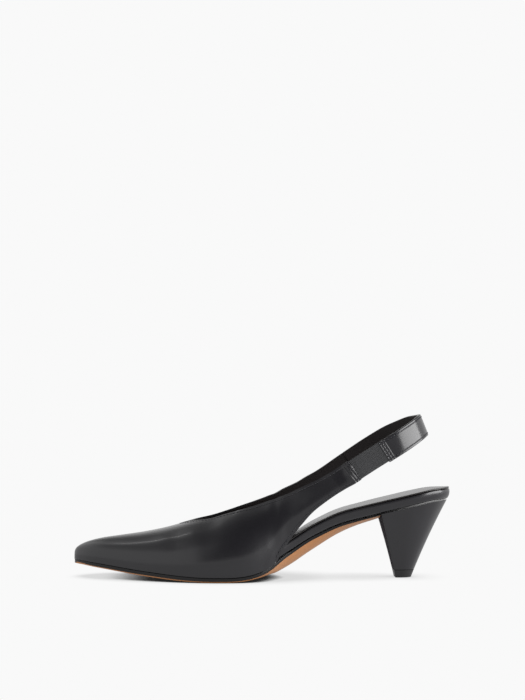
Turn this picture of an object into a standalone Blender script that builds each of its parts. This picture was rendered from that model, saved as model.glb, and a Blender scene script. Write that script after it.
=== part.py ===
"""Slingback pump, a left shoe that stands empty on its forefoot and its heel.

The toe points along -X and the outer side faces -Y. Every piece is drawn on
one last: its feather line, where the upper meets the sole, runs round the
shoe from the toe tip to the back of the seat.
"""

import math

import bmesh
import bpy
from mathutils import Vector
from mathutils.geometry import interpolate_bezier

# The last
LENGTH = 0.255
BALL_WIDTH = 0.079
SEAT_WIDTH = 0.048
TOE_SPRING = 0.0095
HEEL_HEIGHT = 0.0525
INSTEP_RISE = 0.0324

# The outsole
SOLE = 0.0033
WAIST_BELLY = 0.0074
WELT_OUT = 0.0005
TOE_INSET = 0.0003
WAIST_INSET = 0.0040

# The footbed, with its leather rand, and the insole on it
RAND_HEIGHT = 0.0070
RAND_TUCK = 0.0022
INSOLE = 0.0012
INSOLE_INSET = 0.0003

# The upper and its strap
UPPER_WALL = 0.0018
STRAP_RISE = 0.0605
STRAP_WIDTH = 0.0152
STRAP_WALL = 0.0022
ELASTIC_WIDTH = 0.0143
ELASTIC_WALL = 0.0010

# The heel and its top lift
HEEL_BREAST = 0.810
HEEL_INSET = 0.0020
HEEL_CORNER = 0.0016
HEEL_HOLLOW = 0.15
TIP_FRONT = 0.852
TIP_LENGTH = 0.0111
TIP_WIDTH = 0.0130
LIFT = 0.0050

# Clearance between pieces that touch
GAP = 0.0003

# How finely the pieces are divided
TOE_RUNGS = 18
VAMP_RUNGS = 17
QUARTER_RUNGS = 18
UPPER_ROWS = 11
SOLE_RUNGS = 50
HEEL_RUNGS = 12
HEEL_ROWS = 5
STRAP_ROWS = 4
ELASTIC_RUNGS = 9
SLING_RUNGS = 44

OUTER, INNER = -1, 1


class Chart:
    """A table with a named column for each value and a row for each section."""

    def __init__(self, columns, rows, key=float):
        names = columns.split()
        self.key = key
        self.keys = [key(row[0]) for row in rows]
        self.columns = {name: [row[i] for row in rows] for i, name in enumerate(names)}

    def __call__(self, column, place):
        """Read a column between its rows, on a smooth line that never overshoots them."""
        keys = self.keys
        values = self.columns[column]
        place = self.key(place)
        last = len(keys) - 2
        i = max(k for k in range(last + 1) if k == 0 or keys[k] <= place)
        span = keys[i + 1] - keys[i]
        t = min(max((place - keys[i]) / span, 0), 1)
        slopes = [(values[k + 1] - values[k]) / (keys[k + 1] - keys[k])
                  for k in range(max(i - 1, 0), min(i + 1, last) + 1)]
        here = slopes[min(i, 1)]
        start = soft_mean(slopes[0], here) if i > 0 else here
        end = soft_mean(here, slopes[-1]) if i < last else here
        return (values[i] * (1 + 2 * t) * (1 - t) ** 2
                + values[i + 1] * t * t * (3 - 2 * t)
                + span * t * (1 - t) * (start * (1 - t) - end * t))


def soft_mean(a, b):
    """The slope at a row between two slopes, level where they turn round."""
    return 2 * a * b / (a + b) if a * b > 0 else 0


def turn_of(along):
    """A share of the length as a turn that slows at both ends, so that they round off."""
    return math.acos(1 - 2 * min(max(along, 0), 1)) / math.pi


def along_of(turn):
    return (1 - math.cos(math.pi * turn)) / 2


def smooth(value, start, end):
    t = min(max((value - start) / (end - start), 0), 1)
    return t * t * (3 - 2 * t)


# Plan of the last. outer, inner: reach to each side as a share of a width that
# goes from the ball's to the seat's as the seat column goes from 0 to 1.
# axis: where the ridge lies, as a share of the ball width.
PLAN = Chart("along outer inner seat axis", (
    (0.000, -0.040, 0.040, 0.00, 0.040),
    (0.008, 0.021, 0.099, 0.00, 0.040),
    (0.020, 0.061, 0.133, 0.00, 0.040),
    (0.039, 0.113, 0.180, 0.00, 0.040),
    (0.078, 0.193, 0.260, 0.00, 0.040),
    (0.118, 0.260, 0.317, 0.00, 0.040),
    (0.176, 0.351, 0.387, 0.00, 0.040),
    (0.235, 0.424, 0.437, 0.00, 0.040),
    (0.294, 0.480, 0.469, 0.00, 0.040),
    (0.353, 0.515, 0.484, 0.00, 0.037),
    (0.392, 0.524, 0.475, 0.00, 0.034),
    (0.431, 0.520, 0.445, 0.00, 0.031),
    (0.471, 0.496, 0.395, 0.00, 0.027),
    (0.510, 0.446, 0.331, 0.00, 0.024),
    (0.549, 0.407, 0.290, 0.15, 0.020),
    (0.588, 0.383, 0.274, 0.40, 0.017),
    (0.627, 0.383, 0.287, 0.65, 0.013),
    (0.667, 0.402, 0.319, 0.85, 0.010),
    (0.706, 0.428, 0.366, 0.95, 0.007),
    (0.765, 0.472, 0.436, 1.00, 0.005),
    (0.824, 0.500, 0.486, 1.00, 0.003),
    (0.882, 0.500, 0.500, 1.00, 0.002),
    (0.922, 0.458, 0.462, 1.00, 0.001),
    (0.961, 0.350, 0.352, 1.00, 0.000),
    (0.988, 0.186, 0.186, 1.00, 0.000),
    (1.000, 0.000, 0.000, 1.00, 0.000),
), turn_of)

# Side view of the last's bottom. spring: share of the toe spring. heel: share
# of the climb to the seat. sole: the outsole's thickness as a share of SOLE.
# belly: share of what the waist's underside adds at its middle. flat: the part
# of the underside's width that is level. edge: the outsole's black side, as a
# share of its thickness.
BOTTOM = Chart("along spring heel sole belly flat edge", (
    (0.000, 0.965, 0.000, 0.83, 0.00, 0.60, 0.40),
    (0.027, 0.898, 0.000, 0.87, 0.00, 0.82, 0.56),
    (0.062, 0.794, 0.000, 0.90, 0.00, 0.90, 0.64),
    (0.086, 0.719, 0.000, 0.92, 0.00, 0.91, 0.64),
    (0.120, 0.604, 0.000, 0.95, 0.00, 0.92, 0.64),
    (0.173, 0.421, 0.000, 0.98, 0.00, 0.93, 0.64),
    (0.227, 0.268, 0.000, 1.00, 0.00, 0.94, 0.64),
    (0.269, 0.147, 0.000, 1.00, 0.00, 0.94, 0.64),
    (0.310, 0.063, 0.000, 1.00, 0.00, 0.94, 0.64),
    (0.345, 0.011, 0.000, 1.00, 0.00, 0.94, 0.64),
    (0.363, 0.000, 0.000, 1.00, 0.00, 0.94, 0.64),
    (0.416, 0.000, 0.000, 1.00, 0.00, 0.94, 0.64),
    (0.443, 0.000, 0.008, 1.00, 0.00, 0.93, 0.64),
    (0.471, 0.000, 0.028, 1.00, 0.03, 0.86, 0.64),
    (0.498, 0.000, 0.067, 1.00, 0.12, 0.70, 0.65),
    (0.525, 0.000, 0.128, 1.00, 0.38, 0.42, 0.66),
    (0.545, 0.000, 0.199, 1.00, 0.78, 0.20, 0.67),
    (0.571, 0.000, 0.293, 1.00, 0.97, 0.06, 0.67),
    (0.596, 0.000, 0.378, 1.00, 1.00, 0.00, 0.67),
    (0.622, 0.000, 0.474, 1.00, 0.98, 0.00, 0.66),
    (0.647, 0.000, 0.541, 1.00, 0.85, 0.00, 0.63),
    (0.673, 0.000, 0.610, 1.00, 0.69, 0.00, 0.58),
    (0.708, 0.000, 0.685, 1.00, 0.48, 0.00, 0.50),
    (0.753, 0.000, 0.744, 1.00, 0.21, 0.00, 0.36),
    (0.810, 0.000, 0.817, 1.00, 0.08, 0.00, 0.28),
    (0.847, 0.000, 0.860, 1.00, 0.00, 0.00, 0.28),
    (0.894, 0.000, 0.917, 1.00, 0.00, 0.00, 0.28),
    (0.957, 0.000, 0.982, 1.00, 0.00, 0.00, 0.28),
    (1.000, 0.000, 1.000, 1.00, 0.00, 0.00, 0.28),
), turn_of)

# Ridge of the vamp, from the front of the toe to the throat. rise: its height
# above the feather line as a share of the instep's. splay: how far the wall
# leans out at its foot, in degrees.
RIDGE = Chart("along rise splay", (
    (0.000, 0.105, 0),
    (0.002, 0.196, 4),
    (0.0106, 0.274, 7),
    (0.027, 0.350, 9),
    (0.053, 0.436, 11),
    (0.078, 0.498, 12),
    (0.113, 0.567, 12),
    (0.146, 0.635, 12),
    (0.187, 0.719, 12),
    (0.228, 0.814, 12),
    (0.269, 0.926, 12),
    (0.286, 0.979, 12),
), turn_of)

# Half sections of the upper from the throat to its end on the strap. top, low:
# where the topline and the lower edge are along the last. spread: the topline
# from the axis, as a share of the ball width. rise: share of the way from the
# instep's height to the strap's. lift: what the inner side adds to it, as a
# share of the strap's. foot: the lower edge above the feather line, as a share
# of the strap's rise. outer, inner: how far that edge stands out from the last,
# as a share of the ball width. lean: the wall at the topline, in degrees from
# upright, where it has left the last. splay: the same at the lower edge.
QUARTER = Chart("step top spread rise lift low foot outer inner lean splay", (
    (0, 0.286, 0.000, -0.024, 0.000, 0.286, 0.000, 0.000, 0.000, 90, 12),
    (1, 0.292, 0.056, -0.007, 0.000, 0.295, 0.000, 0.000, 0.000, 86, 12),
    (2, 0.306, 0.107, 0.031, 0.000, 0.312, 0.000, 0.000, 0.000, 81, 12),
    (3, 0.329, 0.155, 0.088, 0.003, 0.338, 0.000, 0.000, 0.000, 71, 12),
    (4, 0.369, 0.216, 0.161, 0.007, 0.378, 0.000, 0.000, 0.000, 56, 12),
    (5, 0.408, 0.264, 0.279, 0.002, 0.419, 0.000, 0.000, 0.000, 43, 12),
    (6, 0.451, 0.301, 0.369, 0.010, 0.463, 0.000, 0.000, 0.000, 34, 12),
    (7, 0.490, 0.328, 0.411, 0.012, 0.504, 0.000, 0.000, 0.000, 29, 12),
    (8, 0.518, 0.343, 0.404, 0.014, 0.533, 0.000, 0.000, 0.000, 24, 12),
    (9, 0.535, 0.347, 0.356, 0.018, 0.547, 0.063, 0.010, 0.010, 22, 11),
    (10, 0.547, 0.350, 0.328, 0.024, 0.557, 0.109, 0.018, 0.020, 20, 10),
    (11, 0.557, 0.353, 0.299, 0.032, 0.569, 0.136, 0.028, 0.036, 18, 9),
    (12, 0.576, 0.357, 0.249, 0.037, 0.590, 0.202, 0.062, 0.094, 15, 7),
    (13, 0.596, 0.361, 0.224, 0.033, 0.612, 0.246, 0.086, 0.128, 12, 6),
    (14, 0.616, 0.364, 0.178, 0.046, 0.637, 0.294, 0.109, 0.151, 10, 4),
    (15, 0.643, 0.367, 0.154, 0.055, 0.673, 0.331, 0.118, 0.158, 8, 3),
    (16, 0.675, 0.370, 0.169, 0.067, 0.709, 0.367, 0.116, 0.149, 6, 2),
    (17, 0.721, 0.372, 0.271, 0.082, 0.757, 0.433, 0.099, 0.119, 5, 1),
))
QUARTER_END = 17

# The step at which the lower edge leaves the feather line, and the steps between
# which a section goes from the last's own shape to that of a wall alone
CORNER = 8
LEAVES_LAST = 3
OFF_LAST = 12

# The strap's top edge from the upper's end to the middle of the back. spread is
# a share of the seat width, rise and lift are as for the quarters. slant: how
# far the strap's width leans back as it goes down, in degrees. tuck: how far it
# goes in, as a share of that width.
STRAP = Chart("step along spread rise lift slant tuck", (
    (1, 0.767, 0.592, 0.431, 0.093, 33, 0.00),
    (2, 0.809, 0.568, 0.570, 0.096, 32, 0.01),
    (3, 0.837, 0.530, 0.665, 0.093, 30, 0.04),
    (4, 0.867, 0.460, 0.765, 0.075, 29, 0.09),
    (5, 0.896, 0.336, 0.868, 0.051, 27, 0.14),
    (6, 0.915, 0.180, 0.944, 0.016, 23, 0.11),
    (7, 0.924, 0.000, 0.975, 0.000, 21, 0.00),
))
STRAP_BACK = 7

# Where on the strap the elastic ends and the sling begins, in steps
ELASTIC_END = 1.75

# How full a whole half section is; 0.55 would be an ellipse
FULLNESS = 0.66

# The least share of a whole section's run that the topline leaves below it
LEAST_CUT = 0.45
TRIES = 6
HALVINGS = 14

# How full the wall stays near the topline and its lower edge, off the last
WALL_HEAD = 0.50
WALL_FOOT = 0.43

# Shares of the length between which the footbed comes out to the upper's face, the
# rand rises to its full height and the outsole goes in under the waist
FOOTBED_OUT = (0.57, 0.65)
RAND_RISE = (0.42, 0.54)
SOLE_IN = (0.50, 0.58)

# Side of the footbed. out: how far it stands in from its widest line, as a
# share of the rand's tuck. up: share of its height.
RAND_SIDE = ((1.00, 0.00), (0.40, 0.20), (0.05, 0.50), (0.00, 0.80), (0.12, 1.00))

# Side of the insole, with its edge rolled over
INSOLE_SIDE = ((0.25, 0.00), (0.00, 0.35), (0.08, 0.70), (0.45, 1.00))


def last_edge(side, turn):
    """A plan point of the last's edge, running on round the toe tip or the back."""
    if turn < 0 or turn > 1:
        side = -side
        turn = -turn if turn < 0 else 2 - turn
    along = along_of(turn)
    width = BALL_WIDTH + (SEAT_WIDTH - BALL_WIDTH) * PLAN("seat", along)
    column = "outer" if side == OUTER else "inner"
    return Vector((LENGTH * along, side * width * PLAN(column, along)))


def outline(side, along, out=0.0):
    """The last's edge in plan, moved outwards, square to it, by out."""
    step = 0.004
    turn = turn_of(along)
    run = (last_edge(side, turn + step) - last_edge(side, turn - step)).normalized()
    return last_edge(side, turn) + out * side * Vector((-run.y, run.x))


def feather(along):
    """Height of the feather line above the floor."""
    return (SOLE * BOTTOM("sole", along) + TOE_SPRING * BOTTOM("spring", along)
            + (HEEL_HEIGHT - SOLE) * BOTTOM("heel", along))


def axis(along):
    return BALL_WIDTH * PLAN("axis", along)


def topline_height(along, side, rise, lift):
    """Height of a point of the topline or of the strap's top edge."""
    height = feather(along) + INSTEP_RISE + rise * (STRAP_RISE - INSTEP_RISE)
    return height + (lift * STRAP_RISE if side == INNER else 0)


def ridge_ends(side, along):
    """Lower end and top of a half section in front of the throat."""
    x, y = outline(side, along)
    low = Vector((x, y, feather(along)))
    rise = INSTEP_RISE * RIDGE("rise", along)
    top = Vector((x, axis(along), feather(along) + rise))
    return low, top


def quarter_ends(side, step):
    """Lower end and top of a half section behind the throat.

    Behind the corner the inner side's lower edge is lifted along with its topline.
    """
    low_along = QUARTER("low", step)
    top_along = QUARTER("top", step)
    lift = QUARTER("lift", step)
    stand = BALL_WIDTH * QUARTER("outer" if side == OUTER else "inner", step)
    x, y = outline(side, low_along)
    foot = STRAP_RISE * QUARTER("foot", step)
    raised = smooth(step, CORNER, QUARTER_END) * lift * STRAP_RISE if side == INNER else 0
    low = Vector((x, y + side * stand, feather(low_along) + foot + raised))
    spread = BALL_WIDTH * QUARTER("spread", step)
    height = topline_height(top_along, side, QUARTER("rise", step), lift)
    top = Vector((LENGTH * top_along, axis(top_along) + side * spread, height))
    return low, top


def whole_section(side, low, ridge, height, splay):
    """Corners of a half section from its lower end to the ridge, as (y, z)."""
    foot = FULLNESS * height * Vector((side * math.tan(math.radians(splay)), 1))
    head = Vector((ridge, low.z + height))
    return [low.yz, low.yz + foot, head + Vector((FULLNESS * (low.y - ridge), 0)), head]


def split(corners, share):
    """Corners of a cubic's first part, up to a share of its run."""
    kept = [corners[0]]
    while len(corners) > 1:
        corners = [a.lerp(b, share) for a, b in zip(corners, corners[1:])]
        kept.append(corners[0])
    return kept


def cut_section(side, low, top, ridge, splay):
    """Corners of the part of a whole half section that lies below the topline.

    The whole section runs on over the opening to a ridge in the middle of the shoe.
    Its height follows from the topline, which lies on it, in a few tries, because
    the height also sets how far the section bulges.
    """
    height = top.z - low.z
    for _ in range(TRIES):
        corners = whole_section(side, low, ridge, height, splay)
        share, step = (LEAST_CUT + 1) / 2, (1 - LEAST_CUT) / 4
        for _ in range(HALVINGS):
            share += step if side * (split(corners, share)[-1].x - top.y) > 0 else -step
            step /= 2
        height *= (top.z - low.z) / (split(corners, share)[-1].y - low.z)
    start, foot, head, end = split(corners, share)
    return [start, foot, top.yz + head - end, top.yz]


def wall_section(side, low, top, lean, splay):
    """Corners of a half section that has left the last, as (y, z)."""
    splay = math.radians(splay)
    lean = math.radians(lean)
    across = abs(top.y - low.y)
    height = top.z - low.z
    foot = WALL_FOOT * height * Vector((side * math.tan(splay), 1))
    reach = WALL_HEAD * (across * math.sin(lean) + height * math.cos(lean))
    head = reach * Vector((side * math.sin(lean), -math.cos(lean)))
    return [low.yz, low.yz + foot, top.yz + head, top.yz]


def section_points(low, corners, top):
    """The points of a half section, from its lower end up, with x even in z."""
    slope = (top.x - low.x) / (top.z - low.z)
    handles = [Vector((low.x + slope * (z - low.z), y, z)) for y, z in corners[1:3]]
    return interpolate_bezier(low, *handles, top, UPPER_ROWS + 1)


def ridge_section(side, along):
    low, top = ridge_ends(side, along)
    corners = whole_section(side, low, top.y, top.z - low.z, RIDGE("splay", along))
    return section_points(low, corners, top)


def quarter_section(side, step):
    """A half section behind the throat, which leaves the last between two steps."""
    low, top = quarter_ends(side, step)
    splay = QUARTER("splay", step)
    cut = cut_section(side, low, top, axis(QUARTER("top", step)), splay)
    alone = wall_section(side, low, top, QUARTER("lean", step), splay)
    off = smooth(step, LEAVES_LAST, OFF_LAST)
    return section_points(low, [a.lerp(b, off) for a, b in zip(cut, alone)], top)


def strap_ends(side, step):
    """Lower and top edge of the strap at a row of its table, or at the upper's end."""
    if step == 0:
        return quarter_ends(side, QUARTER_END)
    along = STRAP("along", step)
    height = topline_height(along, side, STRAP("rise", step), STRAP("lift", step))
    spread = SEAT_WIDTH * STRAP("spread", step)
    top = Vector((LENGTH * along, axis(along) + side * spread, height))
    slant = math.radians(STRAP("slant", step))
    down = Vector((math.sin(slant), -side * STRAP("tuck", step), -math.cos(slant)))
    return top + STRAP_WIDTH * down.normalized(), top


def strap_knots():
    """The strap's edges round the back, from the upper's outer end to its inner end."""
    outer = [strap_ends(OUTER, step) for step in range(STRAP_BACK + 1)]
    inner = [strap_ends(INNER, step) for step in range(STRAP_BACK)]
    before = quarter_ends(OUTER, QUARTER_END - 1)
    after = quarter_ends(INNER, QUARTER_END - 1)
    return [before] + outer + inner[::-1] + [after]


def through(points, place):
    """A point on the smooth line through points, of which the first and last only steer it."""
    i = min(int(place), len(points) - 4)
    t = place - i
    a, b, c, d = points[i:i + 4]
    return 0.5 * (2 * b + (c - a) * t + (2 * a - 5 * b + 4 * c - d) * t * t
                  + (3 * b - 3 * c + d - a) * t ** 3)


def strap_rungs(start, end, count, width=None, depth=0.0):
    """Rungs across the strap between two places, set in from its face by depth."""
    knots = strap_knots()
    lows = [low for low, top in knots]
    tops = [top for low, top in knots]
    rungs = []
    for k in range(count + 1):
        place = start + (end - start) * k / count
        low = through(lows, place)
        top = through(tops, place)
        run = through(tops, place + 0.01) - through(tops, place - 0.01)
        across = top - low
        inwards = across.cross(run).normalized()
        if width:
            low = top - across.normalized() * width
        rungs.append([low.lerp(top, row / STRAP_ROWS) + depth * inwards
                      for row in range(STRAP_ROWS + 1)])
    return rungs


def add_object(name, mesh, material):
    """A named, smooth shaded object with its material."""
    mesh.materials.append(material)
    mesh.shade_smooth()
    mesh.set_sharp_from_angle(angle=math.radians(50))
    piece = bpy.data.objects.new(name, mesh)
    bpy.context.collection.objects.link(piece)
    return piece


def mesh_of(name, faces, outward):
    """A mesh from corner points, with the points that coincide made one."""
    work = bmesh.new()
    for face in faces:
        work.faces.new([work.verts.new(corner) for corner in face])
    bmesh.ops.remove_doubles(work, verts=work.verts, dist=1e-6)
    if outward:
        bmesh.ops.recalc_face_normals(work, faces=work.faces)
    mesh = bpy.data.meshes.new(name)
    work.to_mesh(mesh)
    work.free()
    return mesh


def sheet_faces(rungs, flip=False):
    """Four-sided faces between rungs, facing -Y where the rungs run to +X and up."""
    faces = []
    for here, there in zip(rungs, rungs[1:]):
        for row in range(len(here) - 1):
            face = [here[row], there[row], there[row + 1], here[row + 1]]
            faces.append(face[::-1] if flip else face)
    return faces


def solid_faces(rings, caps):
    """Faces of a solid between closed rings, with the end rings in caps filled."""
    closed = [ring + ring[:1] for ring in rings]
    return sheet_faces(closed) + [rings[end] for end in caps]


def thicken(piece, wall):
    """Give a sheet its wall, on the inside of its face."""
    solidify = piece.modifiers.new("wall", "SOLIDIFY")
    solidify.thickness = wall
    solidify.offset = -1


def make_upper(material):
    """The vamp and both quarters, open below, between the quarters and at the throat."""
    throat = turn_of(QUARTER("top", 0))
    faces = []
    for side in (OUTER, INNER):
        rungs = [ridge_section(side, along_of(throat * k / TOE_RUNGS)) for k in range(TOE_RUNGS)]
        rungs += [quarter_section(side, CORNER * k / VAMP_RUNGS) for k in range(VAMP_RUNGS)]
        run = QUARTER_END - CORNER
        rungs += [quarter_section(side, CORNER + run * k / QUARTER_RUNGS)
                  for k in range(QUARTER_RUNGS + 1)]
        faces += sheet_faces(rungs, flip=side == INNER)
    piece = add_object("upper", mesh_of("upper", faces, outward=False), material)
    thicken(piece, UPPER_WALL)
    return piece


def make_sling_strap(material):
    """The leather strap from the elastic round the back to the inner quarter."""
    slack = GAP / (strap_ends(OUTER, 1)[1] - strap_ends(OUTER, 2)[1]).length
    rungs = strap_rungs(ELASTIC_END + slack / 2, 2 * STRAP_BACK - slack, SLING_RUNGS)
    mesh = mesh_of("sling_strap", sheet_faces(rungs), outward=False)
    piece = add_object("sling_strap", mesh, material)
    thicken(piece, STRAP_WALL)
    return piece


def make_elastic(material):
    """The elastic gore on the outer side, between the upper's end and the strap."""
    slack = GAP / (strap_ends(OUTER, 0)[1] - strap_ends(OUTER, 1)[1]).length
    depth = (UPPER_WALL - ELASTIC_WALL) / 2
    rungs = strap_rungs(slack, ELASTIC_END - slack / 2, ELASTIC_RUNGS, ELASTIC_WIDTH, depth)
    mesh = mesh_of("elastic", sheet_faces(rungs), outward=False)
    piece = add_object("elastic", mesh, material)
    thicken(piece, ELASTIC_WALL)
    return piece


def footbed_inset(along):
    """How far the footbed stays in from the last, so that the upper goes outside it."""
    return (UPPER_WALL + GAP) * (1 - smooth(along, *FOOTBED_OUT))


def rand_height(along):
    """The footbed is thin under the ball and a full rand behind the upper's corner."""
    return RAND_HEIGHT * (0.40 + 0.60 * smooth(along, *RAND_RISE))


def layer_rings(side_profile, inset, tuck, base, height):
    """Rings of a layer that follows the last, from its toe to its back."""
    rings = []
    for k in range(SOLE_RUNGS + 1):
        along = along_of(k / SOLE_RUNGS)
        ring = []
        for side, profile in ((OUTER, side_profile), (INNER, side_profile[::-1])):
            for share_in, share_up in profile:
                x, y = outline(side, along, -inset(along) - share_in * tuck)
                ring.append(Vector((x, y, base(along) + share_up * height(along))))
        rings.append(ring)
    return rings


def make_footbed(material):
    """The leather covered footbed, whose rand shows behind the upper."""
    rings = layer_rings(RAND_SIDE, footbed_inset, RAND_TUCK, feather, rand_height)
    mesh = mesh_of("footbed", solid_faces(rings, ()), outward=True)
    return add_object("footbed", mesh, material)


def make_insole(material):
    """The padded insole, which lies on the footbed all the way."""
    rings = layer_rings(
        INSOLE_SIDE,
        lambda along: footbed_inset(along) + INSOLE_INSET,
        INSOLE,
        lambda along: feather(along) + rand_height(along) + GAP,
        lambda along: INSOLE,
    )
    mesh = mesh_of("insole", solid_faces(rings, ()), outward=True)
    return add_object("insole", mesh, material)


def make_outsole(material):
    """The leather outsole, flat under the ball and rounded under the waist."""
    end = turn_of(HEEL_BREAST - GAP / LENGTH)
    rings = []
    for k in range(SOLE_RUNGS + 1):
        along = along_of(end * k / SOLE_RUNGS)
        out = WELT_OUT - (WELT_OUT + TOE_INSET) * (1 - smooth(along, 0, 0.08))
        out -= (WELT_OUT + WAIST_INSET) * smooth(along, *SOLE_IN)
        outer, inner = (outline(side, along, out) for side in (OUTER, INNER))
        if k == SOLE_RUNGS:
            outer.x = inner.x = LENGTH * along
        thickness = SOLE * BOTTOM("sole", along)
        top = feather(along) - GAP
        rim = top - thickness * BOTTOM("edge", along)
        middle = feather(along) - thickness - WAIST_BELLY * BOTTOM("belly", along)
        flat = BOTTOM("flat", along)
        ring = [outer.lerp(inner, share).to_3d() for share in (0, 0.25, 0.5, 0.75, 1)]
        for point in ring:
            point.z = top
        half = [flat * share for share in (0, 0.35, 0.7, 1)]
        half += [flat + (1 - flat) * share for share in (0.3, 0.55, 0.8, 1)]
        for across in half[:0:-1] + [-share for share in half]:
            point = outer.lerp(inner, (1 + across) / 2).to_3d()
            swell = max(abs(across) - flat, 0) / (1 - flat)
            point.z = middle + (rim - middle) * swell ** 2
            ring.append(point)
        rings.append(ring)
    mesh = mesh_of("outsole", solid_faces(rings, (-1,)), outward=True)
    return add_object("outsole", mesh, material)


def heel_plan():
    """The heel's top in plan: a straight breast, soft corners and the seat's curve."""
    breast = LENGTH * HEEL_BREAST
    start = HEEL_BREAST + HEEL_CORNER / LENGTH
    half = []
    corner = outline(OUTER, start, -HEEL_INSET)
    centre = Vector((breast + HEEL_CORNER, corner.y + HEEL_CORNER))
    half += [Vector((breast, centre.y * share)) for share in (0.5, 1)]
    for angle in (25, 50, 75):
        swing = math.radians(angle)
        half.append(centre + HEEL_CORNER * Vector((-math.cos(swing), -math.sin(swing))))
    first = turn_of(start)
    half += [outline(OUTER, along_of(first + (1 - first) * k / HEEL_RUNGS), -HEEL_INSET)
             for k in range(HEEL_RUNGS + 1)]
    other = [Vector((point.x, -point.y)) for point in half[-2::-1]]
    return [Vector((breast, 0))] + half + other


def heel_ring(plan, height, up=0.0):
    """The heel's ring, a share of the way up from a level height to the seat."""
    breast = LENGTH * HEEL_BREAST
    depth = max(point.x for point in plan) - breast
    width = 2 * max(point.y for point in plan)
    ring = []
    for x, y in plan:
        top = Vector((x, y, feather(x / LENGTH) - GAP))
        foot_x = LENGTH * TIP_FRONT + (x - breast) / depth * TIP_LENGTH
        foot = Vector((foot_x, y * TIP_WIDTH / width, 0))
        share = height / top.z + (1 - height / top.z) * up
        flare = share - HEEL_HOLLOW * share * (1 - share)
        ring.append(foot.lerp(top, flare).xy.to_3d() + Vector((0, 0, top.z * share)))
    return ring


def make_heel(material):
    """The covered heel, a cone from the seat down to its top lift."""
    plan = heel_plan()
    rings = [heel_ring(plan, LIFT + GAP, k / HEEL_ROWS) for k in range(HEEL_ROWS + 1)]
    mesh = mesh_of("heel", solid_faces(rings, (0, -1)), outward=True)
    return add_object("heel", mesh, material)


def make_top_lift(material):
    """The wearing piece under the heel."""
    plan = heel_plan()
    rings = [heel_ring(plan, 0), heel_ring(plan, LIFT)]
    mesh = mesh_of("top_lift", solid_faces(rings, (0, -1)), outward=True)
    return add_object("top_lift", mesh, material)


def make_material(name, colour, roughness):
    material = bpy.data.materials.new(name)
    material.use_nodes = True
    shader = material.node_tree.nodes["Principled BSDF"]
    shader.inputs["Base Color"].default_value = (*colour, 1)
    shader.inputs["Roughness"].default_value = roughness
    shader.inputs["Metallic"].default_value = 0
    return material


def centre_on_floor(pieces):
    """Put the middle of the shoe's length and width at the origin; it stands on z = 0."""
    corners = [vertex.co for piece in pieces for vertex in piece.data.vertices]
    shift = Vector((
        -(min(c.x for c in corners) + max(c.x for c in corners)) / 2,
        -(min(c.y for c in corners) + max(c.y for c in corners)) / 2,
        0,
    ))
    for piece in pieces:
        for vertex in piece.data.vertices:
            vertex.co += shift


def main():
    for old in list(bpy.data.objects):
        bpy.data.objects.remove(old)
    calf = make_material("black calf leather", (0.035, 0.034, 0.037), 0.38)
    lining = make_material("black lining leather", (0.020, 0.018, 0.018), 0.45)
    tan = make_material("tan sole leather", (0.48, 0.23, 0.10), 0.50)
    gore = make_material("black elastic", (0.060, 0.060, 0.062), 0.85)
    rubber = make_material("black top lift rubber", (0.030, 0.030, 0.030), 0.60)
    centre_on_floor([
        make_upper(calf),
        make_sling_strap(calf),
        make_elastic(gore),
        make_footbed(calf),
        make_insole(lining),
        make_outsole(tan),
        make_heel(calf),
        make_top_lift(rubber),
    ])


main()
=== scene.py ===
"""Finish, stitching and studio for a black calf slingback pump with a cone heel.

The shoe stands on the floor with its toe along -X and its outer side towards -Y.
Each leather piece is a refined copy of its solid, with rounded edges, creases,
its lining and its cut edges. Sizes are in metres, unless a name ends in mm
or the comment above it says so.
"""

import math

import bmesh
import bpy
import numpy as np
from mathutils import Matrix, Vector
from mathutils.bvhtree import BVHTree
from mathutils.kdtree import KDTree


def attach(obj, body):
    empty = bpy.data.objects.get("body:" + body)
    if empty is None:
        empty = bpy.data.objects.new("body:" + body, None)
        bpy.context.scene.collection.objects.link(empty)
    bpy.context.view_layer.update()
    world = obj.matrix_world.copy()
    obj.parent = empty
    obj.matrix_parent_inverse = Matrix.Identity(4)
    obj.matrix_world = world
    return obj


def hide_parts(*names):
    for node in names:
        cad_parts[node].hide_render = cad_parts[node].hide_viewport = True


bl_info = {
    "name": "Slingback pump",
    "version": (1, 0, 0),
    "blender": (4, 5, 0),
    "location": "View3D > Sidebar > Pump",
    "description": "Finishes a slingback pump in calf leather and sets its studio",
    "category": "Object",
}

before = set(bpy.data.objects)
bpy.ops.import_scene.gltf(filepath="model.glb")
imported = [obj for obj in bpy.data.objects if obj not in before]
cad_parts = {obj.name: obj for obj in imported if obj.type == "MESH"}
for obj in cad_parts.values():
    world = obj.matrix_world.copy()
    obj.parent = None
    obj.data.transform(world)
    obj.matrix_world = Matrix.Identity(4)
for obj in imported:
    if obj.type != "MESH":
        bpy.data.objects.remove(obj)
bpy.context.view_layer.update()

MM = 0.001

# Points closer together than this are one point
WELD = 1e-6

# Between the shoe's outer and inner side
MIDDLE_Y = 0.0015

# A height inside the upper, which its outside faces away from
FOOT_Z = 0.012

# Behind this, the sling curves round the heel
HEEL_X = 0.085

# Behind this, the upper's lower border is the finished edge of the quarters
QUARTERS_X = 0.010

# How steeply the elastic gore climbs towards the heel
GORE_CLIMB = math.radians(33)

STRAP_WAY = Vector((math.cos(GORE_CLIMB), 0, math.sin(GORE_CLIMB)))

# How squarely a face looks along the strap, from 0 to 1, to be part of its end
END_SQUARENESS = 0.85

# Longest border that counts as an end across the strap
STRAP_END = 0.018

# How far the elastic runs on under the leather at both ends
GORE_TUCK_MM = 2.0

# How far the sling runs on at its inner end, which closes the gap to the upper
SLING_JOINT_MM = 0.5

# Faces of the outsole that look down more than this are tan, and the others are inked
SOLE_DOWN = -0.3

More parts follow.
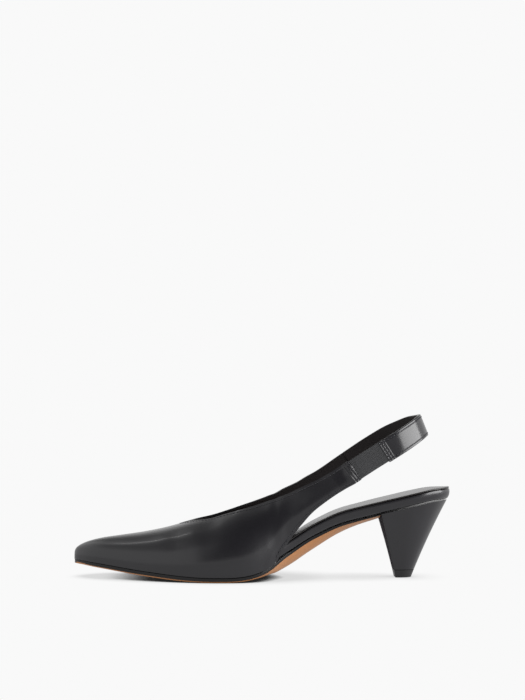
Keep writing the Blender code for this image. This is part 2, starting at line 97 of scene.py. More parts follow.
# Faces of the heel that look forwards more than this are its unglazed breast
BREAST_FORWARDS = -0.8

# The leather's pull at a row of stitches: its reach to both sides, and its depth
SEAM_REACH_MM = 0.6
SEAM_DEPTH_MM = 0.24

# The beads across a stitched end: from one to the next, their height, and how many
# beads from the end they begin to fade and are gone
BEAD_MM = 1.9
BEAD_HEIGHT_MM = 0.2
BEADS_FULL = 2.1
BEADS_GONE = 2.9

# The leather slopes down to a stitched end: where the slope stops and where it starts,
# both from the end, and how deep it goes
SLOPE_STOP_MM = 3.4
SLOPE_START_MM = 15.0
SLOPE_DEPTH_MM = 1.1

# Rows of stitches across a stitched end, in beads from the end, and how far their first
# stitch is from the strap's edge
END_ROWS = (0.75, 1.75)
END_ROW_SKIP_MM = 1.8

# From a corner to the first stitch of a row along an edge
EDGE_ROW_SKIP_MM = 2.5

# A stitch's share of the pitch, and how far it stands up, in thicknesses of the thread
STITCH_SHARE = 0.82
STITCH_RISE = 0.12

# Depth of the calf's grain
CALF_GRAIN_MM = 0.006

# The elastic's herringbone: the width of a band of it, the pitch and the slant of its
# ribs, and the heights of the ribs and of the bands
BAND_MM = 1.2
RIB_MM = 0.95
RIB_SLANT = 0.9
RIB_HEIGHT_MM = 0.06
BAND_HEIGHT_MM = 0.05

# Creases of the upper's outer side, pressed in or raised. x, z: the middle,
# in mm. run: how steeply it climbs towards the heel, in degrees. length, width: half
# of each, in mm. lift: how far it stands out, in mm.
CREASES = (
    {"x": -57.0, "z": 23.5, "run": 10, "length": 7.0, "width": 2.6, "lift": -0.35},
    {"x": -64.5, "z": 27.5, "run": 6, "length": 6.0, "width": 2.4, "lift": 0.22},
    {"x": 3.0, "z": 15.0, "run": 62, "length": 8.0, "width": 1.6, "lift": -0.22},
    {"x": 6.6, "z": 15.5, "run": 62, "length": 8.0, "width": 1.5, "lift": 0.18},
    {"x": 10.2, "z": 17.0, "run": 60, "length": 8.5, "width": 1.6, "lift": -0.26},
    {"x": 13.6, "z": 19.0, "run": 58, "length": 8.0, "width": 1.5, "lift": 0.18},
    {"x": 17.0, "z": 21.0, "run": 56, "length": 7.0, "width": 1.5, "lift": -0.20},
    {"x": 57.6, "z": 74.0, "run": 104, "length": 9.0, "width": 3.2, "lift": 1.05},
    {"x": 65.8, "z": 78.4, "run": 118, "length": 16.0, "width": 3.2, "lift": -0.45},
)

# Lamps that the camera doesn't see
LAMPS = {
    "softbox": {"place": (1.26, -0.36, 0.45), "aim": (0.11, 0.0, 0.09), "width": 1.27, "height": 0.80},
    "strip": {"place": (-0.45, 0.37, 0.83), "aim": (-0.06, 0.0, 0.03), "width": 0.17, "height": 0.02},
}

# Bands of the room's light. axis: the part of a direction that the band goes by. dim,
# lit: where on it the band is dimmest and brightest. least: how bright it is at dim.
ROOM = {
    "horizon": {"axis": "Z", "dim": 0.17, "lit": 0.02, "least": 0.0},
    "backdrop": {"axis": "Y", "dim": -0.05, "lit": 0.35, "least": 0.0},
    "backdrop height": {"axis": "Z", "dim": 0.58, "lit": 0.15, "least": 0.12},
    "panel": {"axis": "X", "dim": -0.21, "lit": -0.44, "least": 0.0},
    "panel height": {"axis": "Z", "dim": 0.90, "lit": 0.66, "least": 0.35},
}

# How much light the bands add to the dim room
BAND_LIGHT = 0.86
DIM_ROOM = 0.09

# The floor's shadows. reach: how far off a thing can be that darkens the floor.
# towards: the side that it looks to. deep, clear: its share of open sky in the deepest
# shadow, and out of the shadow. darkest: its brightness in the deepest shadow.
SHADOWS = {
    "contact": {"reach": 0.010, "towards": (0.4, 0.5, 0.77),
                "deep": 0.12, "clear": 0.44, "darkest": 0.02},
    "soft": {"reach": 0.045, "towards": (0.0, 0.98, 0.2),
             "deep": 0.42, "clear": 0.80, "darkest": 0.74},
}

# How brightly the floor lights the shoe, as a share of what the camera sees
FLOOR_GLOW = 0.68

# The camera stands this far towards the heel
CAMERA_X = 0.0004


def linear(code):
    """A colour given as an sRGB hex code, in linear light."""
    shares = [int(code[i:i + 2], 16) / 255 for i in (1, 3, 5)]
    return tuple(s / 12.92 if s <= 0.04045 else ((s + 0.055) / 1.055) ** 2.4 for s in shares)


# The floor's and the backdrop's colour
PALE = linear("#F9F9F9")

# The top lift's colour
RUBBER = linear("#1E1D1E")


class PumpLeather(bpy.types.PropertyGroup):
    calf: bpy.props.FloatVectorProperty(
        name="Calf", description="Dyed calf of the upper, sling, rand and heel",
        subtype="COLOR", size=3, min=0, max=1, default=linear("#1B1A1E"))
    lining: bpy.props.FloatVectorProperty(
        name="Lining", description="Lining leather inside the upper and the sling",
        subtype="COLOR", size=3, min=0, max=1, default=linear("#211C1C"))
    edge: bpy.props.FloatVectorProperty(
        name="Edge", description="Ink on the cut edges",
        subtype="COLOR", size=3, min=0, max=1, default=linear("#121113"))
    sole: bpy.props.FloatVectorProperty(
        name="Sole", description="Tan leather of the outsole",
        subtype="COLOR", size=3, min=0, max=1, default=linear("#CC8B55"))
    elastic: bpy.props.FloatVectorProperty(
        name="Elastic", description="Yarn of the elastic gore",
        subtype="COLOR", size=3, min=0, max=1, default=linear("#4A4A4C"))
    thread: bpy.props.FloatVectorProperty(
        name="Thread", description="Sewing thread",
        subtype="COLOR", size=3, min=0, max=1, default=linear("#48474C"))
    grain: bpy.props.FloatProperty(
        name="Grain", description="Width of a grain of the calf",
        subtype="DISTANCE", unit="LENGTH", default=0.9 * MM, min=0.2 * MM, max=3 * MM)


class PumpStitching(bpy.types.PropertyGroup):
    pitch: bpy.props.FloatProperty(
        name="Pitch", description="From one stitch to the next",
        unit="LENGTH", default=2.3 * MM, min=1 * MM, max=5 * MM)
    thickness: bpy.props.FloatProperty(
        name="Thickness", description="Thickness of the thread",
        unit="LENGTH", default=0.42 * MM, min=0.2 * MM, max=1 * MM)
    margin: bpy.props.FloatProperty(
        name="Margin", description="From the edge of the leather to its row of stitches",
        unit="LENGTH", default=1.7 * MM, min=0.8 * MM, max=4 * MM)


class PumpStudio(bpy.types.PropertyGroup):
    distance: bpy.props.FloatProperty(
        name="Distance", description="From the camera to the middle of the shoe, along the floor",
        unit="LENGTH", default=0.90, min=0.3, max=5)
    drop: bpy.props.FloatProperty(
        name="Drop", description="How steeply the camera sees the floor under the shoe",
        subtype="ANGLE", default=math.radians(6.2), min=0, max=1)
    tilt: bpy.props.FloatProperty(
        name="Tilt", description="How far the camera looks up",
        subtype="ANGLE", default=math.radians(3.543), min=-1, max=1)
    lens: bpy.props.FloatProperty(
        name="Lens", description="Focal length, in millimetres",
        default=67.9, min=20, max=200)
    softbox: bpy.props.FloatProperty(
        name="Softbox", description="Power of the softbox to the right, in watts",
        default=20.0, min=0, max=200)
    strip: bpy.props.FloatProperty(
        name="Strip", description="Power of the strip light over the vamp, in watts",
        default=0.07, min=0, max=50)


def select_only(piece):
    bpy.ops.object.select_all(action="DESELECT")
    piece.select_set(True)
    bpy.context.view_layer.objects.active = piece


def copy_of(node, name):
    """A merged copy of a solid, which stands for it."""
    piece = bpy.data.objects.new(name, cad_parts[node].data.copy())
    bpy.context.collection.objects.link(piece)
    piece.data.materials.clear()
    select_only(piece)
    bpy.ops.object.mode_set(mode="EDIT")
    bpy.ops.mesh.select_all(action="SELECT")
    bpy.ops.mesh.remove_doubles(threshold=WELD)
    bpy.ops.mesh.tris_convert_to_quads(
        face_threshold=math.radians(40), shape_threshold=math.radians(120))
    bpy.ops.mesh.mark_sharp(clear=True)
    bpy.ops.object.mode_set(mode="OBJECT")
    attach(piece, "root")
    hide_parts(node)
    return piece


def lengthen(piece, way, reach, side=0):
    """Push the end that looks along way further out, on one side of the shoe or on both."""
    work = bmesh.new()
    work.from_mesh(piece.data)
    end = [f for f in work.faces
           if f.normal.dot(way) > END_SQUARENESS and f.calc_center_median().y * side >= 0]
    push = reach * sum((f.normal for f in end), Vector()).normalized()
    for vertex in {v for f in end for v in f.verts}:
        vertex.co += push
    work.to_mesh(piece.data)
    work.free()


def finish_surface(piece, rounding_mm, levels, sharp=50):
    """Round the edges over a real width and smooth the faces."""
    select_only(piece)
    bevel = piece.modifiers.new("rounded edges", "BEVEL")
    bevel.width = rounding_mm * MM
    bevel.segments = 2
    bevel.angle_limit = math.radians(sharp)
    bevel.use_clamp_overlap = True
    smooth = piece.modifiers.new("smooth faces", "SUBSURF")
    smooth.levels = smooth.render_levels = levels
    bpy.ops.object.modifier_apply(modifier=bevel.name)
    bpy.ops.object.modifier_apply(modifier=smooth.name)
    bpy.ops.object.shade_smooth_by_angle(angle=math.radians(60))


def regions_of(work, angle=50):
    """Faces in groups that sharp edges part, in the same order in every run."""
    limit = math.radians(angle)
    grouped = set()
    groups = []
    for first in work.faces:
        if first in grouped:
            continue
        grouped.add(first)
        group = [first]
        for face in group:
            for edge in face.edges:
                if len(edge.link_faces) == 2 and edge.calc_face_angle() < limit:
                    fresh = [other for other in edge.link_faces if other not in grouped]
                    grouped.update(fresh)
                    group += fresh
        groups.append(group)
    return groups


def outer_and_inner(work, centre):
    """The outward and the inward side of a piece of leather with a wall."""
    groups = regions_of(work)

    def facing(group):
        total = 0.0
        for face in group:
            middle = face.calc_center_median()
            total += face.calc_area() * face.normal.dot(middle - centre(middle))
        return total

    groups.sort(key=facing)
    return groups[-1], groups[0]


def border_of(group):
    """The longest closed line of points round a group of faces, in their winding."""
    inside = set(group)

    def on_border(corner):
        return sum(face in inside for face in corner.edge.link_faces) == 1

    left = {corner: None for face in group for corner in face.loops if on_border(corner)}
    lines = []
    while left:
        corner = next(iter(left))
        line = []
        while corner in left:
            del left[corner]
            line.append(corner.vert.co.copy())
            corner = corner.link_loop_next
            while not on_border(corner):
                corner = corner.link_loop_radial_next.link_loop_next
        lines.append(line)
    return max(lines, key=run_length)


def runs_between_corners(line, angle=42):
    """A closed line cut into runs at its sharp corners."""
    count = len(line)
    corners = []
    for i, point in enumerate(line):
        before = point - line[i - 1]
        after = line[(i + 1) % count] - point
        if before.angle(after, 0) > math.radians(angle):
            corners.append(i)
    runs = []
    for i, start in enumerate(corners):
        end = corners[(i + 1) % len(corners)]
        span = (end - start) % count
        runs.append([line[(start + k) % count] for k in range(span + 1)])
    return sorted(runs, key=run_length, reverse=True)


def run_length(run):
    return sum((b - a).length for a, b in zip(run, run[1:]))


def resample(run, pitch, start=0.0, end=0.0):
    """Points at an even pitch along a run, with the way on at each."""
    total = run_length(run)
    count = max(int((total - start - end) / pitch), 1)
    points = []
    walked, i = 0.0, 0
    for k in range(count + 1):
        place = start + (total - start - end) * k / count
        while i < len(run) - 2 and walked + (run[i + 1] - run[i]).length < place:
            walked += (run[i + 1] - run[i]).length
            i += 1
        step = run[i + 1] - run[i]
        points.append((run[i] + step * ((place - walked) / step.length), step.normalized()))
    return points


def tree_of(faces):
    """A search tree over some faces of a mesh in the making."""
    corners = []
    sides = []
    for face in faces:
        sides.append(range(len(corners), len(corners) + len(face.verts)))
        corners += [v.co.copy() for v in face.verts]
    return BVHTree.FromPolygons(corners, [tuple(side) for side in sides])


def row_beside(run, surface, margin, pitch, start=0.0, end=0.0):
    """Places for stitches on the leather, beside its edge: point, way on and normal."""
    places = []
    for point, way in resample(run, pitch, start, end):
        normal = surface.find_nearest(point)[1]
        sideways = normal.cross(way).normalized()
        found = [surface.find_nearest(point + margin * sign * sideways) for sign in (1, -1)]
        best = min(found, key=lambda hit: hit[3])
        places.append((best[0], best[1]))
    row = []
    for k, (point, normal) in enumerate(places):
        way = places[min(k + 1, len(places) - 1)][0] - places[max(k - 1, 0)][0]
        row.append((point, way.normalized(), normal))
    return row


def keep_gap(piece, name, lines, step_mm=0.4):
    """Store each point's distance from some lines, in mm."""
    samples = [place[0] for line in lines for place in resample(line, step_mm * MM)]
    tree = KDTree(len(samples))
    for i, point in enumerate(samples):
        tree.insert(point, i)
    tree.balance()
    gaps = [tree.find(v.co)[2] / MM for v in piece.data.vertices]
    attribute = piece.data.attributes.new(name, "FLOAT", "POINT")
    attribute.data.foreach_set("value", gaps)


def press_creases(piece):
    """Move the outer side's points out or in at the creases."""
    mesh = piece.data
    count = len(mesh.vertices)
    points = np.empty(count * 3)
    normals = np.empty(count * 3)
    mesh.vertices.foreach_get("co", points)
    mesh.vertex_normals.foreach_get("vector", normals)
    points = points.reshape(-1, 3)
    normals = normals.reshape(-1, 3)
    lift = np.zeros(count)
    for crease in CREASES:
        run = math.radians(crease["run"])
        x = points[:, 0] / MM - crease["x"]
        z = points[:, 2] / MM - crease["z"]
        along = (x * math.cos(run) + z * math.sin(run)) / crease["length"]
        across = (z * math.cos(run) - x * math.sin(run)) / crease["width"]
        lift += crease["lift"] * MM * np.exp(-along ** 2 - across ** 2)
    lift *= (normals[:, 1] < 0) & (points[:, 1] < 0)
    points += normals * lift[:, None]
    mesh.vertices.foreach_set("co", points.ravel())
    mesh.update()


def add_node(tree, kind, inputs=(), **settings):
    """Add a node with its settings, its values and its links from other nodes."""
    node = tree.nodes.new(kind)
    for name, value in settings.items():
        setattr(node, name, value)
    for name, value in dict(inputs).items():
        if isinstance(value, bpy.types.Node):
            value = value.outputs[0]
        if isinstance(value, bpy.types.NodeSocket):
            tree.links.new(value, node.inputs[name])
        else:
            node.inputs[name].default_value = value
    return node


def maths(tree, operation, *values):
    """One step of arithmetic on numbers and on the results of other nodes."""
    return add_node(tree, "ShaderNodeMath", dict(enumerate(values)), operation=operation)


def ramp(tree, value, start, end, low=0.0, high=1.0, curve="SMOOTHSTEP"):
    """A value that goes from low at start to high at end, and is level beyond both."""
    return add_node(tree, "ShaderNodeMapRange", {0: value, 1: start, 2: end, 3: low, 4: high},
                    interpolation_type=curve)


def blend(tree, share, first, second):
    """A colour between two others."""
    mix = add_node(tree, "ShaderNodeMix", {0: share, 6: first, 7: second}, data_type="RGBA")
    return mix.outputs[2]


def gap_of(tree, name):
    """The distance in mm that keep_gap stored under a name."""
    return add_node(tree, "ShaderNodeAttribute", attribute_name=name).outputs["Fac"]


def tone(colour, share=1.0):
    """A colour, darkened or lightened, as a socket takes it."""
    return (*[part * share for part in colour], 1)


def start_material(name):
    """A new material, its node tree and the place of each point on the shoe."""
    material = bpy.data.materials.new(name)
    material.use_nodes = True
    tree = material.node_tree
    tree.nodes.clear()
    return material, tree, add_node(tree, "ShaderNodeTexCoord").outputs["Object"]


def end_material(tree, height_mm, **values):
    """Close a material with its relief in mm, its shader and its output."""
    relief = add_node(tree, "ShaderNodeBump", {"Height": height_mm, "Distance": MM})
    inputs = {key.replace("_", " "): value for key, value in values.items()}
    shader = add_node(tree, "ShaderNodeBsdfPrincipled", {**inputs, "Normal": relief})
    add_node(tree, "ShaderNodeOutputMaterial", {"Surface": shader})


def grain_height(tree, place, width, depth_mm):
    """Leather grain: rounded cells parted by fine furrows, on a soft unevenness."""
    cells = add_node(tree, "ShaderNodeTexVoronoi", {"Vector": place, "Scale": 1 / width},
                     feature="SMOOTH_F1")
    cloud = add_node(tree, "ShaderNodeTexNoise",
                     {"Vector": place, "Scale": 0.35 / width, "Detail": 3.0})
    cell = maths(tree, "MULTIPLY", cells, -depth_mm)
    return maths(tree, "MULTIPLY_ADD", cloud, depth_mm * 1.5, cell)


def seam_height(tree, grain):
    """The grain with the pull of a seam beside each finished edge, with the beads of a
    folded and twice stitched end, and with the leather's slope down to that end."""
    margin = bpy.context.scene.pump_stitching.margin / MM
    off = maths(tree, "SUBTRACT", gap_of(tree, "edge_gap"), margin)
    off = maths(tree, "ABSOLUTE", off)
    pull = ramp(tree, off, 0.0, SEAM_REACH_MM, -SEAM_DEPTH_MM, 0.0, "SMOOTHERSTEP")
    end = gap_of(tree, "end_gap")
    wave = maths(tree, "SINE", maths(tree, "MULTIPLY", end, 2 * math.pi / BEAD_MM))
    near = ramp(tree, end, BEADS_FULL * BEAD_MM, BEADS_GONE * BEAD_MM, BEAD_HEIGHT_MM, 0.0,
                "LINEAR")
    bead = maths(tree, "MULTIPLY", wave, near)
    slope = ramp(tree, end, SLOPE_STOP_MM, SLOPE_START_MM, -SLOPE_DEPTH_MM, 0.0)
    sewn_down = maths(tree, "ADD", maths(tree, "ADD", pull, bead), slope)
    return maths(tree, "ADD", sewn_down, grain)


def glazed_calf(name, seam=False):
    """Aniline dyed box calf, glazed: a close grain under a clear glaze, so it gives
    crisp highlights on soft ones."""
    settings = bpy.context.scene.pump_leather
    material, tree, place = start_material(name)
    height = grain_height(tree, place, settings.grain, CALF_GRAIN_MM)
    if seam:
        height = seam_height(tree, height)
    patches = add_node(tree, "ShaderNodeTexNoise", {"Vector": place, "Scale": 60.0, "Detail": 4.0})
    colour = blend(tree, patches, tone(settings.calf), tone(settings.calf, 1.5))
    gloss = ramp(tree, patches, 0.0, 1.0, 0.25, 0.34, "LINEAR")
    end_material(tree, height, Base_Color=colour, Roughness=gloss, IOR=1.5,
                 Coat_Weight=0.3, Coat_Roughness=0.12)
    return material


def dull_calf(name):
    """The same calf on the heel's breast, left without a glaze: dull and dark at any angle."""
    settings = bpy.context.scene.pump_leather
    material, tree, place = start_material(name)
    height = grain_height(tree, place, settings.grain, CALF_GRAIN_MM)
    end_material(tree, height, Base_Color=tone(settings.calf, 2.5), Roughness=0.9, IOR=1.45,
                 Specular_IOR_Level=0.05)
    return material


def lining_leather(name):
    """Vegetable tanned kid lining, brushed: a dull dark brown."""
    settings = bpy.context.scene.pump_leather
    material, tree, place = start_material(name)
    height = grain_height(tree, place, 0.7 * MM, 0.014)
    end_material(tree, height, Base_Color=tone(settings.lining), Roughness=0.6, IOR=1.45,
                 Specular_IOR_Level=0.35)
    return material


def sock_leather(name):
    """Kid leather of the insole, smooth and waxed: dark, with a clear sheen at a low angle."""
    settings = bpy.context.scene.pump_leather
    material, tree, place = start_material(name)
    height = grain_height(tree, place, 0.8 * MM, 0.02)
    end_material(tree, height, Base_Color=tone(settings.lining, 0.8), Roughness=0.24, IOR=1.6)
    return material


def inked_edge(name):
    """Cut edge of leather, inked and burnished: nearly black with a satin gloss."""
    settings = bpy.context.scene.pump_leather
    material, tree, place = start_material(name)
    height = grain_height(tree, place, 0.5 * MM, 0.01)
    end_material(tree, height, Base_Color=tone(settings.edge), Roughness=0.25, IOR=1.5,
                 Specular_IOR_Level=0.4)
    return material


def sole_leather(name):
    """Bend leather, vegetable tanned and waxed: tan, with fine streaks along the sole."""
    settings = bpy.context.scene.pump_leather
    material, tree, place = start_material(name)
    drawn = add_node(tree, "ShaderNodeMapping", {"Vector": place, "Scale": (120, 900, 900)})
    streaks = add_node(tree, "ShaderNodeTexNoise", {"Vector": drawn, "Scale": 1.0, "Detail": 5.0})
    colour = blend(tree, streaks, tone(settings.sole), tone(settings.sole, 0.72))
    grain = grain_height(tree, place, 0.8 * MM, 0.02)
    height = maths(tree, "MULTIPLY_ADD", streaks, 0.03, grain)
    end_material(tree, height, Base_Color=colour, Roughness=0.48, IOR=1.5,
                 Coat_Weight=0.1, Coat_Roughness=0.3)
    return material


def ribbed_elastic(name):
    """Woven elastic of covered rubber: matt yarn in herringbone ribs, with shade painted into the
    hollows between the ribs, so the ribs look lighter.
    """
    settings = bpy.context.scene.pump_leather
    material, tree, place = start_material(name)
    turned = add_node(tree, "ShaderNodeMapping", {
        "Vector": place, "Rotation": (0, GORE_CLIMB, 0), "Scale": (1000, 1000, 1000)})
    parts = add_node(tree, "ShaderNodeSeparateXYZ", {0: turned}).outputs
    across = maths(tree, "PINGPONG", parts["Z"], BAND_MM)
    slanted = maths(tree, "MULTIPLY_ADD", across, RIB_SLANT, parts["X"])
    rib = maths(tree, "SINE", maths(tree, "MULTIPLY", slanted, 2 * math.pi / RIB_MM))
    band = maths(tree, "SINE", maths(tree, "MULTIPLY", parts["Z"], 2 * math.pi / BAND_MM))
    band = maths(tree, "MULTIPLY", band, BAND_HEIGHT_MM)
    height = maths(tree, "MULTIPLY_ADD", rib, RIB_HEIGHT_MM, band)
    # Painted shade: the yarn's colour darkens to 0.4 of itself in the hollows between the ribs
    hollow_shade = ramp(tree, rib, -1.0, 1.0, 1.0, 0.0, "LINEAR")
    colour = blend(tree, hollow_shade, tone(settings.elastic), tone(settings.elastic, 0.4))
    end_material(tree, height, Base_Color=colour, Roughness=0.8, IOR=1.45, Sheen_Weight=0.2,
                 Sheen_Roughness=0.5)
    return material


def moulded_rubber(name):
    """Moulded hard rubber of a top lift: dark, dull and slightly rough."""
    material, tree, place = start_material(name)
    height = grain_height(tree, place, 0.6 * MM, 0.01)
    end_material(tree, height, Base_Color=tone(RUBBER), Roughness=0.45, IOR=1.52)
    return material


def waxed_thread(name):
    """Bonded nylon thread, waxed: dark grey, with a sheen on each stitch."""
    settings = bpy.context.scene.pump_leather
    material, tree, place = start_material(name)
    height = grain_height(tree, place, 0.25 * MM, 0.01)
    end_material(tree, height, Base_Color=tone(settings.thread), Roughness=0.4, IOR=1.5)
    return material


def material_named(name, maker, **options):
    return bpy.data.materials.get(name) or maker(name, **options)


def short_ends(runs):
    """The runs across the strap, at the ends of a leather piece."""
    return [run for run in runs if run_length(run) < STRAP_END]


def leather_piece(node, name, centre, free_edge, rounding_mm=0.5, levels=2, joint_mm=0.0):
    """A walled leather piece with its lining and inked edges. free_edge picks the runs
    of its border that are finished edges; joint_mm lengthens its end on the shoe's inner side."""
    piece = copy_of(node, name)
    if joint_mm:
        lengthen(piece, -STRAP_WAY, joint_mm * MM, side=1)
    work = bmesh.new()
    work.from_mesh(piece.data)
    outer, inner = outer_and_inner(work, centre)
    for face in work.faces:
        face.material_index = 2
    for face in outer:
        face.material_index = 0
    for face in inner:
        face.material_index = 1
    runs = runs_between_corners(border_of(outer))
    work.to_mesh(piece.data)
    work.free()
    piece.data.materials.append(material_named("glazed box calf, stitched", glazed_calf, seam=True))
    piece.data.materials.append(material_named("brushed kid lining", lining_leather))
    piece.data.materials.append(material_named("inked leather edge", inked_edge))
    finish_surface(piece, rounding_mm, levels)
    keep_gap(piece, "edge_gap", free_edge(runs))
    keep_gap(piece, "end_gap", short_ends(runs))
    return piece


def upper_centre(point):
    return Vector((point.x, MIDDLE_Y, FOOT_Z))


def sling_centre(point):
    return Vector((min(point.x, HEEL_X), MIDDLE_Y, point.z))


def upper_free_edges(runs):
    """The topline and both lower edges of the quarters, but not the feather line."""
    topline, lower = sorted(runs[:2], key=lambda run: -min(p.x for p in run))
    quarters = []
    for side in (-1, 1):
        part = [p for p in lower if p.y * side > 0 and p.x > QUARTERS_X]
        quarters.append(sorted(part, key=lambda p: p.x))
    return [topline] + quarters


def sling_free_edges(runs):
    return runs[:2]


def sewn(name, rows, material):
    """One mesh with a stitch at each place of each row."""
    settings = bpy.context.scene.pump_stitching
    bpy.ops.object.select_all(action="DESELECT")
    bpy.ops.mesh.primitive_uv_sphere_add(segments=8, ring_count=6, radius=0.5)
    pattern = bpy.context.object
    bpy.ops.object.mode_set(mode="EDIT")
    bpy.ops.mesh.select_all(action="SELECT")
    bpy.ops.transform.resize(
        value=(settings.thickness, settings.thickness, settings.pitch * STITCH_SHARE))
    bpy.ops.object.mode_set(mode="OBJECT")
    stitch = pattern.data
    work = bmesh.new()
    for row in rows:
        for point, way, normal in row:
            side = normal.cross(way).normalized()
            turn = Matrix((side, way.cross(side), way)).transposed().to_4x4()
            before = len(work.verts)
            work.from_mesh(stitch)
            work.verts.ensure_lookup_table()
            place = Matrix.Translation(point + normal * STITCH_RISE * settings.thickness) @ turn
            bmesh.ops.transform(work, matrix=place, verts=work.verts[before:])
    mesh = bpy.data.meshes.new(name)
    work.to_mesh(mesh)
    work.free()
    bpy.data.objects.remove(pattern)
    piece = bpy.data.objects.new(name, mesh)
    bpy.context.collection.objects.link(piece)
    mesh.materials.append(material)
    select_only(piece)
    bpy.ops.object.shade_smooth()
    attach(piece, "root")
    return piece


def edge_rows(node, centre, free_edge):
    """Rows of stitches beside a piece's finished edges, worked out on its solid."""
    settings = bpy.context.scene.pump_stitching
    work = bmesh.new()
    work.from_mesh(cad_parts[node].data)
    bmesh.ops.remove_doubles(work, verts=work.verts, dist=WELD)
    outer = outer_and_inner(work, centre)[0]
    surface = tree_of(outer)
    runs = runs_between_corners(border_of(outer))
    edges = [(run, settings.margin, EDGE_ROW_SKIP_MM * MM) for run in free_edge(runs)]
    edges += [(end, beads * BEAD_MM * MM, END_ROW_SKIP_MM * MM)
              for end in short_ends(runs) for beads in END_ROWS]
    rows = [row_beside(run, surface, margin, settings.pitch, skip, skip)
            for run, margin, skip in edges]
    work.free()
    return rows


class PUMP_OT_upper(bpy.types.Operator):
    """Finish the upper: vamp and quarters, their lining, edges and creases"""
    bl_idname = "pump.upper"
    bl_label = "Upper"

    def execute(self, context):
        piece = leather_piece("upper", "calf_upper", upper_centre, upper_free_edges)
        press_creases(piece)
        return {"FINISHED"}


class PUMP_OT_sling(bpy.types.Operator):
    """Finish the leather sling strap"""
    bl_idname = "pump.sling"
    bl_label = "Sling strap"

    def execute(self, context):
        leather_piece("sling_strap", "calf_sling", sling_centre, sling_free_edges,
                      joint_mm=SLING_JOINT_MM)
        return {"FINISHED"}


class PUMP_OT_elastic(bpy.types.Operator):
    """Finish the ribbed elastic gore"""
    bl_idname = "pump.elastic"
    bl_label = "Elastic"

    def execute(self, context):
        piece = copy_of("elastic", "ribbed_gore")
        for way in (STRAP_WAY, -STRAP_WAY):
            lengthen(piece, way, GORE_TUCK_MM * MM)
        piece.data.materials.append(material_named("woven elastic", ribbed_elastic))
        finish_surface(piece, 0.25, 2)
        return {"FINISHED"}


class PUMP_OT_footbed(bpy.types.Operator):
    """Finish the footbed with its leather rand, and the insole on it"""
    bl_idname = "pump.footbed"
    bl_label = "Footbed and insole"

    def execute(self, context):
        rand = copy_of("footbed", "calf_rand")
        rand.data.materials.append(material_named("glazed box calf", glazed_calf))
        finish_surface(rand, 0.3, 2)
        sock = copy_of("insole", "lining_insole")
        sock.data.materials.append(material_named("kid insole leather", sock_leather))
        finish_surface(sock, 0.2, 2)
        return {"FINISHED"}


class PUMP_OT_outsole(bpy.types.Operator):
    """Finish the tan outsole with its inked edge"""
    bl_idname = "pump.outsole"
    bl_label = "Outsole"

    def execute(self, context):
        piece = copy_of("outsole", "leather_outsole")
        piece.data.materials.append(material_named("waxed sole leather", sole_leather))
        piece.data.materials.append(material_named("inked leather edge", inked_edge))
        for face in piece.data.polygons:
            face.material_index = 0 if face.normal.z < SOLE_DOWN else 1
        finish_surface(piece, 0.25, 2, sharp=35)
        return {"FINISHED"}


class PUMP_OT_heel(bpy.types.Operator):
    """Finish the covered heel and its top lift"""
    bl_idname = "pump.heel"
    bl_label = "Heel"

    def execute(self, context):
        cover = copy_of("heel", "covered_heel")
        cover.data.materials.append(material_named("glazed box calf", glazed_calf))
        cover.data.materials.append(material_named("unglazed calf", dull_calf))
        for face in cover.data.polygons:
            face.material_index = 1 if face.normal.x < BREAST_FORWARDS else 0
        finish_surface(cover, 0.2, 2)
        lift = copy_of("top_lift", "rubber_lift")
        lift.data.materials.append(material_named("moulded rubber", moulded_rubber))
        finish_surface(lift, 0.3, 2)
        return {"FINISHED"}


class PUMP_OT_stitching(bpy.types.Operator):
    """Sew the rows of stitches along the topline, the quarters and the sling"""
    bl_idname = "pump.stitching"
    bl_label = "Stitching"

    def execute(self, context):
        thread = material_named("bonded nylon thread", waxed_thread)
        rows = edge_rows("upper", upper_centre, upper_free_edges)
        piece = sewn("upper_stitches", rows, thread)
        rows = edge_rows("sling_strap", sling_centre, sling_free_edges)
        piece = sewn("sling_stitches", rows, thread)
        return {"FINISHED"}


def floor_shadow(tree, reach, towards, deep, clear, darkest):
    """The floor's brightness in a shadow, by its share of open sky on one side."""
    sky = add_node(tree, "ShaderNodeAmbientOcclusion", {"Distance": reach, "Normal": towards},
                   samples=16).outputs["AO"]
    return ramp(tree, sky, deep, clear, darkest, 1.0, "LINEAR")


def pale_floor():
    """The floor glows as evenly as a lit sweep and darkens close to what stands on it."""
    bpy.ops.object.select_all(action="DESELECT")
    bpy.ops.mesh.primitive_circle_add(vertices=64, radius=6, fill_type="NGON")
    floor = bpy.context.object
    floor.name = "floor"
    material = bpy.data.materials.new("matt white sweep")
    material.use_nodes = True
    tree = material.node_tree
    tree.nodes.clear()
    contact = floor_shadow(tree, **SHADOWS["contact"])
    soft = floor_shadow(tree, **SHADOWS["soft"])
    shade = maths(tree, "MULTIPLY", contact, soft)
    seen = add_node(tree, "ShaderNodeLightPath").outputs["Is Camera Ray"]
    glowing = add_node(tree, "ShaderNodeMix", {0: seen, 2: FLOOR_GLOW, 3: 1.0})
    level = maths(tree, "MULTIPLY", shade, glowing)
    glow = add_node(tree, "ShaderNodeEmission", {"Color": tone(PALE), "Strength": level})
    add_node(tree, "ShaderNodeOutputMaterial", {"Surface": glow})
    floor.data.materials.append(material)


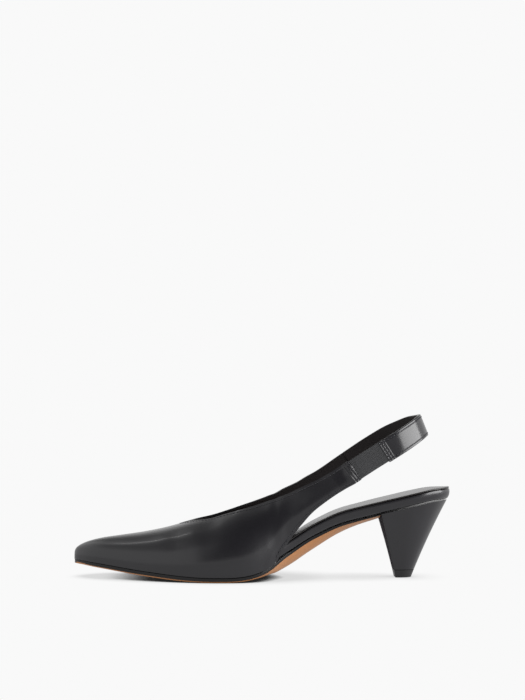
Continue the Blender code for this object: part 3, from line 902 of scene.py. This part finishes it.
def studio_world():
    """A pale backdrop behind the shoe, a soft panel on the toe's side, the floor's glow
    along the horizon and a dim room elsewhere. The camera itself sees an even pale
    backdrop all round."""
    world = bpy.data.worlds.new("studio")
    bpy.context.scene.world = world
    world.use_nodes = True
    tree = world.node_tree
    tree.nodes.clear()
    way = add_node(tree, "ShaderNodeTexCoord").outputs["Generated"]
    parts = add_node(tree, "ShaderNodeSeparateXYZ", {0: way}).outputs
    band = {name: ramp(tree, parts[one["axis"]], one["dim"], one["lit"], one["least"])
            for name, one in ROOM.items()}
    backdrop = maths(tree, "MULTIPLY", band["backdrop"], band["backdrop height"])
    panel = maths(tree, "MULTIPLY", band["panel"], band["panel height"])
    lit = maths(tree, "MAXIMUM", backdrop, panel)
    lit = maths(tree, "MAXIMUM", lit, band["horizon"])
    level = maths(tree, "MULTIPLY_ADD", lit, BAND_LIGHT, DIM_ROOM)
    seen = add_node(tree, "ShaderNodeLightPath").outputs["Is Camera Ray"]
    mix = add_node(tree, "ShaderNodeMix", {0: seen, 2: level, 3: 1.0})
    light = add_node(tree, "ShaderNodeBackground", {"Color": tone(PALE), "Strength": mix})
    add_node(tree, "ShaderNodeOutputWorld", {"Surface": light})


def softbox(name, power, place, aim, width, height):
    """A rectangular light that the camera doesn't see."""
    bpy.ops.object.select_all(action="DESELECT")
    bpy.ops.object.light_add(type="AREA", location=place)
    lamp = bpy.context.object
    lamp.name = name
    lamp.rotation_euler = (Vector(aim) - Vector(place)).to_track_quat("-Z", "Y").to_euler()
    lamp.data.shape = "RECTANGLE"
    lamp.data.size = width
    lamp.data.size_y = height
    lamp.data.energy = power
    lamp.visible_camera = False


class PUMP_OT_studio(bpy.types.Operator):
    """Set the pale floor, the soft lights and the camera"""
    bl_idname = "pump.studio"
    bl_label = "Studio"

    def execute(self, context):
        studio = context.scene.pump_studio
        pale_floor()
        studio_world()
        softbox("softbox", studio.softbox, **LAMPS["softbox"])
        softbox("strip", studio.strip, **LAMPS["strip"])
        height = studio.distance * math.tan(studio.drop)
        bpy.ops.object.camera_add(location=(CAMERA_X, -studio.distance, height),
                                  rotation=(math.pi / 2 + studio.tilt, 0, 0))
        camera = context.object
        camera.name = "camera"
        camera.data.lens = studio.lens
        camera.data.sensor_width = 36
        context.scene.camera = camera
        context.scene.view_settings.view_transform = "Standard"
        return {"FINISHED"}


class PUMP_PT_pump(bpy.types.Panel):
    """Pieces of the pump, in the order they are made"""
    bl_idname = "PUMP_PT_pump"
    bl_label = "Slingback pump"
    bl_space_type = "VIEW_3D"
    bl_region_type = "UI"
    bl_category = "Pump"

    def draw(self, context):
        scene = context.scene
        for group in (scene.pump_leather, scene.pump_stitching, scene.pump_studio):
            box = self.layout.box()
            for name in group.__annotations__:
                box.prop(group, name)
        for operator in OPERATORS:
            self.layout.operator(operator.bl_idname)


OPERATORS = (PUMP_OT_upper, PUMP_OT_sling, PUMP_OT_elastic, PUMP_OT_footbed, PUMP_OT_outsole,
             PUMP_OT_heel, PUMP_OT_stitching, PUMP_OT_studio)
CLASSES = (PumpLeather, PumpStitching, PumpStudio, *OPERATORS, PUMP_PT_pump)


def register():
    for cls in CLASSES:
        bpy.utils.register_class(cls)
    bpy.types.Scene.pump_leather = bpy.props.PointerProperty(type=PumpLeather)
    bpy.types.Scene.pump_stitching = bpy.props.PointerProperty(type=PumpStitching)
    bpy.types.Scene.pump_studio = bpy.props.PointerProperty(type=PumpStudio)


def unregister():
    del bpy.types.Scene.pump_studio
    del bpy.types.Scene.pump_stitching
    del bpy.types.Scene.pump_leather
    for cls in reversed(CLASSES):
        bpy.utils.unregister_class(cls)


def main():
    register()
    bpy.ops.pump.upper()
    bpy.ops.pump.sling()
    bpy.ops.pump.elastic()
    bpy.ops.pump.footbed()
    bpy.ops.pump.outsole()
    bpy.ops.pump.heel()
    bpy.ops.pump.stitching()
    bpy.ops.pump.studio()


if __name__ == "__main__":
    main()
